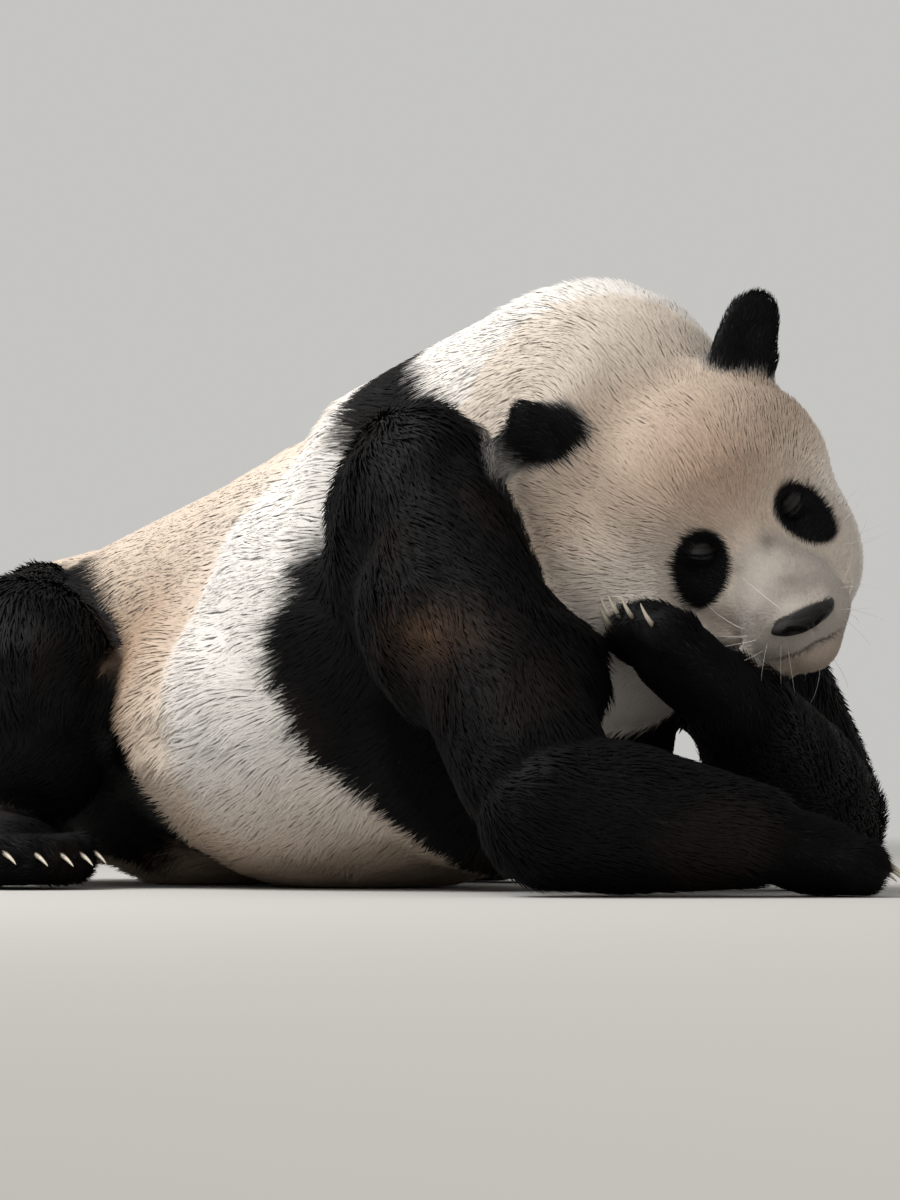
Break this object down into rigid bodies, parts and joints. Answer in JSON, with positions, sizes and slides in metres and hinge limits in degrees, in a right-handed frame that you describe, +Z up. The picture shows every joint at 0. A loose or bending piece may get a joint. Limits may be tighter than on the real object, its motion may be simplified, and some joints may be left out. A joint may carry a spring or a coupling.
{
  "type": "giant panda",
  "caption": "Life-size giant panda lying on its belly, asleep, with its right cheek on its folded left forepaw.",
  "frame": {"origin": "on the floor, under the middle of the animal's bounding box", "axes": "+X from rump to head, +Y to the animal's left, +Z up"},
  "size_m": [1.4748, 0.8657, 0.6246],
  "materials": {
    "white_coat": "dense dull fur",
    "black_coat": "dense fur with a faint cool sheen",
    "nose": "bare pebbled skin, slightly moist",
    "eye": "closed lid over the eye",
    "claw": "ivory horn, satin"
  },
  "bodies": {
    "root": {"head": "white_coat", "jaw": "white_coat", "neck": "white_coat", "chest": "black_coat", "belly": "white_coat", "rump": "white_coat", "tail": "white_coat", "nose": "nose", "ear_left": "black_coat", "ear_right": "black_coat", "eye_left": "eye", "eye_right": "eye", "upper_arm_left": "black_coat", "upper_arm_right": "black_coat", "forearm_left": "black_coat", "forearm_right": "black_coat", "forepaw_left": "black_coat", "forepaw_right": "black_coat", "thigh_left": "black_coat", "thigh_right": "black_coat", "shank_left": "black_coat", "shank_right": "black_coat", "hind_foot_left": "black_coat", "hind_foot_right": "black_coat", "forepaw_left_claw_1": "claw", "forepaw_left_claw_2": "claw", "forepaw_left_claw_3": "claw", "forepaw_left_claw_4": "claw", "forepaw_left_claw_5": "claw", "forepaw_right_claw_1": "claw", "forepaw_right_claw_2": "claw", "forepaw_right_claw_3": "claw", "forepaw_right_claw_4": "claw", "forepaw_right_claw_5": "claw", "hind_foot_left_claw_1": "claw", "hind_foot_left_claw_2": "claw", "hind_foot_left_claw_3": "claw", "hind_foot_left_claw_4": "claw", "hind_foot_left_claw_5": "claw", "hind_foot_right_claw_1": "claw", "hind_foot_right_claw_2": "claw", "hind_foot_right_claw_3": "claw", "hind_foot_right_claw_4": "claw", "hind_foot_right_claw_5": "claw"}
  },
  "joints": []
}
